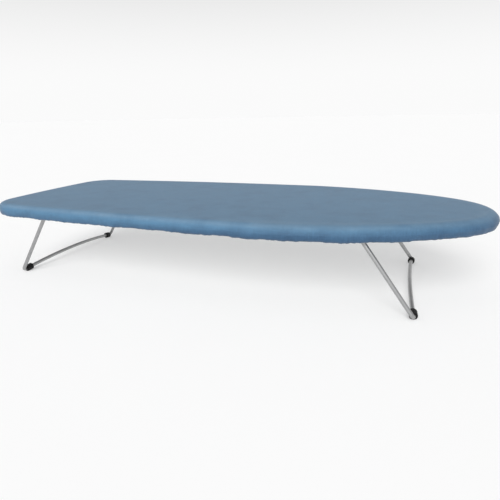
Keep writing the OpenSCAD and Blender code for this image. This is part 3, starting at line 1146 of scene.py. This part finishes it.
@dataclass
class WireLeg:
    """One folding leg: the bent wire, its two rubber feet and the caps on its ends."""

    end: End
    pivot: Vector
    width: float
    splay: float
    arch: float
    wire_d: float = 5.5 * MM
    bend_r: float = 5 * MM
    lean: float = radians(2)
    sleeve_d: float = 10.5 * MM
    sleeve_len: float = 11.5 * MM
    sleeve_flat: float = 0.8 * MM
    lip: float = 1.1 * MM
    groove_depth: float = 0.16 * MM
    groove_w: float = 0.9 * MM
    sides: int = 56

    @property
    def name(self) -> str:
        """The word that this leg's pieces start with."""
        return self.end.name.lower()

    def __post_init__(self) -> None:
        """Works out the arc of the crosspiece, in the leg's own plane."""
        self.angle = 2 * atan(self.arch / (self.width / 2))
        corner = self.bend_r * tan((pi / 2 + self.angle + self.lean) / 2)
        end_z = self.sleeve_d / 2 * cos(asin(sin(self.angle) * cos(self.splay))) - self.sleeve_flat
        self.end_v = -(self.pivot.z - end_z) / cos(self.splay)
        foot_half = self.width / 2 + (corner * sin(self.angle) - self.end_v) * tan(self.lean)
        self.radius = (foot_half - corner * cos(self.angle)) / sin(self.angle)

    def place(self, angle: np.ndarray, out: np.ndarray, off_plane: np.ndarray, side: int) -> np.ndarray:
        """Points beside the crosspiece's line.

        Args:
            angle: the angle along the crosspiece's arc, from its middle outward.
            out: how far the point is from the line, away from the arc's centre.
            off_plane: how far it is from the leg's plane.
            side: 1 for the left foot and -1 for the right one.

        Returns:
            The points, in the board's frame.
        """
        across = side * (self.radius + out) * np.sin(angle)
        up = self.end_v - self.radius * cos(self.angle) + (self.radius + out) * np.cos(angle)
        lean = self.end.value
        x = self.pivot.x + lean * (-up * sin(self.splay) + off_plane * cos(self.splay))
        z = self.pivot.z + up * cos(self.splay) + off_plane * sin(self.splay)
        return np.stack([x, across, z], -1)

    def sleeve_section(self) -> np.ndarray:
        """The sleeve's half section.

        Returns:
            Distances along the sleeve and radii, round from bore to bore.
        """
        outer, bore, run, lip = self.sleeve_d / 2, self.wire_d / 2 + 0.03 * MM, self.sleeve_len, self.lip
        near = [(lip * (1 - sin(a)), outer - lip * (1 - cos(a))) for a in np.linspace(pi / 2, 0, 7)]
        bead = [(0.7 * MM, bore), (0.2 * MM, bore + 0.15 * MM), (0.0, bore + 0.6 * MM)]
        near = bead + near
        dips = []
        for centre in (0.3 * run, 0.7 * run):
            for t in np.linspace(-1, 1, 9):
                depth = self.groove_depth * (0.5 + 0.5 * cos(pi * t))
                dips.append((centre + t * self.groove_w / 2, outer - depth))
        far = [(run - along, radius) for along, radius in near[::-1]]
        return np.array(near + dips + far)

    def foot(self, side: int) -> bpy.types.Object:
        """Makes one rubber sleeve, with rounded ends, two grip grooves and a sole worn flat.

        Args:
            side: 1 for the left foot and -1 for the right one.

        Returns:
            The sleeve, riding on this leg.
        """
        section = self.sleeve_section()
        turn = np.linspace(0, 2 * pi, self.sides, endpoint=False)
        angle = (self.angle - section[:, 0] / self.radius)[:, None] + np.zeros(self.sides)
        seam = 0.07 * MM * np.exp(-((np.sin(turn) / 0.06) ** 2))
        radius = section[:, 1:] + seam * (section[:, 1:] > self.sleeve_d / 2 - 0.4 * MM)
        points = self.place(angle, radius * np.cos(turn), radius * np.sin(turn), side)
        points[..., 2] = np.maximum(points[..., 2], 0)
        word = "left" if side > 0 else "right"
        piece = make_piece(
            f"{self.name}_rubber_foot_{word}", points, grid_faces(len(points), self.sides, True, True), 60
        )
        dress(piece, Finish.RUBBER)
        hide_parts(f"{self.name}_foot_{word}")
        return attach(piece, f"{self.name}_leg")

    def build(self) -> List[bpy.types.Object]:
        """Makes this leg's feet and dresses its wire and caps.

        Returns:
            The new pieces.
        """
        finish_node(f"{self.name}_leg_wire", Finish.WIRE)
        finish_node(f"{self.name}_pivot_caps", Finish.CAP, bevel=0.5 * MM)
        return [self.foot(side) for side in (1, -1)]


def finish_node(name: str, finish: Finish, bevel: float = 0.0, segments: int = 3) -> None:
    """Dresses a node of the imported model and, where it is pressed or turned, breaks its sharp edges.

    Args:
        name: the node.
        finish: its finish.
        bevel: the width of the broken edges, or 0 to leave them.
        segments: how many steps round a broken edge.
    """
    node = frame["nodes"][name]
    dress(node, finish)
    node.data.shade_smooth()
    node.data.set_sharp_from_angle(angle=radians(35))
    if bevel:
        modifier = node.modifiers.new("broken_edges", "BEVEL")
        modifier.width = bevel
        modifier.segments = segments
        modifier.limit_method = "ANGLE"
        modifier.angle_limit = radians(50)
        modifier.use_clamp_overlap = True
        modifier.harden_normals = True


@dataclass
class SteelTop:
    """The perforated panel, its rim and channels, and the brackets riveted to them."""

    sheet_nodes: Tuple[str, ...] = ("top_panel", "heel_channel", "centre_channel", "nose_channel")
    bracket_edge: float = 0.25 * MM
    rivet_edge: float = 0.8 * MM

    def build(self) -> None:
        """Dresses every node of the steel top."""
        for name in self.sheet_nodes:
            finish_node(name, Finish.PANEL)
        finish_node("rim_frame", Finish.RIM)
        for end in End:
            word = end.name.lower()
            finish_node(f"{word}_rivets", Finish.RIVET, bevel=self.rivet_edge, segments=4)
            for side in ("left", "right"):
                finish_node(f"{word}_bracket_{side}", Finish.BRACKET, bevel=self.bracket_edge, segments=2)


# ---- Studio ----


@dataclass(frozen=True)
class SoftLight:
    """A broad, distant light, which lights the whole floor alike."""

    name: str
    bearing: float
    rise: float
    strength: float
    spread: float

    def build(self) -> None:
        """Adds the light, shining towards the board from its bearing and its rise above the floor."""
        data = bpy.data.lights.new(self.name, "SUN")
        data.energy = self.strength
        data.angle = self.spread
        lamp = bpy.data.objects.new(self.name, data)
        level = cos(self.rise)
        away = Vector((sin(self.bearing) * level, -cos(self.bearing) * level, sin(self.rise)))
        lamp.location = 3 * away
        lamp.rotation_euler = (-away).to_track_quat("-Z", "Y").to_euler()
        bpy.context.scene.collection.objects.link(lamp)


@dataclass(frozen=True)
class Studio:
    """A pale sweep under a bright horizon, with a soft key light from the front and a wide one overhead."""

    floor_radius: float = 60.0
    floor_sides: int = 96
    horizon: float = 0.96
    zenith: float = 0.44
    horizon_band: Tuple[float, float] = (0.06, 0.55)
    lights: Tuple[SoftLight, ...] = (
        SoftLight("key_light", bearing=radians(2), rise=radians(30), strength=2.9, spread=radians(36)),
        SoftLight("overhead_light", bearing=radians(15), rise=radians(72), strength=0.22, spread=radians(50)),
    )

    def world(self) -> None:
        """Makes the surroundings: white at the horizon and dimmer overhead."""
        world = bpy.data.worlds.new("studio")
        world.use_nodes = True
        tree = Tree(world.node_tree)
        _, _, height = tree.axes(tree.node("ShaderNodeTexCoord", output="Generated"))
        low, high = self.horizon_band
        inputs = {
            "Value": height,
            "From Min": low, "From Max": high,
            "To Min": self.horizon, "To Max": self.zenith,
        }
        glow = tree.node("ShaderNodeMapRange", {"interpolation_type": "SMOOTHSTEP"}, inputs)
        backdrop = world.node_tree.nodes["Background"]
        tree.plug(backdrop.inputs["Color"], (1.0, 1.0, 1.0))
        tree.plug(backdrop.inputs["Strength"], glow)
        bpy.context.scene.world = world

    def floor(self) -> None:
        """Makes the floor, as a disc of rings."""
        turn = np.linspace(0, 2 * pi, self.floor_sides, endpoint=False)
        radii = self.floor_radius * np.array([0.002, 0.02, 0.1, 0.35, 1.0])
        x, y = np.outer(radii, np.cos(turn)), np.outer(radii, np.sin(turn))
        points = np.stack([x, y, 0 * x], 2)
        faces = grid_faces(len(radii), self.floor_sides, False, True) + [tuple(range(self.floor_sides))]
        floor = make_piece("studio_floor", points, faces)
        dress(floor, Finish.FLOOR)

    def build(self) -> None:
        """Makes the floor, the surroundings and the lights."""
        self.floor()
        self.world()
        for light in self.lights:
            light.build()


@dataclass(frozen=True)
class StillCamera:
    """The camera, in front of the board's near side and a little above it."""

    place: Triple = (0.24179, -0.64989, 0.24027)
    turn: float = radians(-20.148)
    down: float = radians(16.347)
    roll: float = radians(-1.040)
    lens_mm: float = 32.156
    sensor_mm: float = 36.0
    shift: Tuple[float, float] = (0.0240, -0.0064)

    def build(self) -> None:
        """Makes the camera and gives it to the scene."""
        ahead = Vector((sin(self.turn) * cos(self.down), cos(self.turn) * cos(self.down), -sin(self.down)))
        level = Vector((cos(self.turn), -sin(self.turn), 0.0))
        above = level.cross(ahead)
        right = cos(self.roll) * level + sin(self.roll) * above
        up = cos(self.roll) * above - sin(self.roll) * level
        data = bpy.data.cameras.new("still_camera")
        data.lens = self.lens_mm
        data.sensor_width = self.sensor_mm
        data.shift_x, data.shift_y = self.shift
        camera = bpy.data.objects.new("still_camera", data)
        turned = Matrix((right, up, -ahead)).transposed().to_4x4()
        camera.matrix_world = Matrix.Translation(self.place) @ turned
        bpy.context.scene.collection.objects.link(camera)
        bpy.context.scene.camera = camera


def joint_place(name: str) -> Vector:
    """Where a joint's axis is, in the board's frame."""
    found = next(joint for joint in frame["joints"] if joint["name"] == name)
    return Vector(found["pos_m"])


def main() -> None:
    """Builds the studio and the board, piece by piece."""
    StillCamera().build()
    Studio().build()
    bpy.context.scene.view_settings.view_transform = "Standard"

    low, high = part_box("cover")
    outline = Outline(high.x - low.x, high.y - low.y)
    cover = CottonCover(outline, high.z, low.z)
    cloth = cover.build()
    LOG.info("cover: %d points", len(cloth.data.vertices))
    hem = HemTunnel(cover)
    hem_pieces = [hem.tunnel(), hem.elastic(), hem.stitches()]
    LOG.info("hem: %s points", [len(piece.data.vertices) for piece in hem_pieces])
    pad_low, pad_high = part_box("foam_pad")
    pad = FoamLayer(outline, pad_low.z, pad_high.z).build()
    LOG.info("pad: %d points", len(pad.data.vertices))
    SteelTop().build()
    legs = [
        WireLeg(
            End.HEEL, joint_place("heel_leg_fold"), width=231 * MM, splay=radians(31.6), arch=9.5 * MM
        ),
        WireLeg(
            End.NOSE, joint_place("nose_leg_fold"), width=234 * MM, splay=radians(35.9), arch=7 * MM
        ),
    ]
    for leg in legs:
        feet = leg.build()
        LOG.info("%s leg: feet of %s points", leg.name, [len(foot.data.vertices) for foot in feet])


if __name__ == "__main__":
    main()
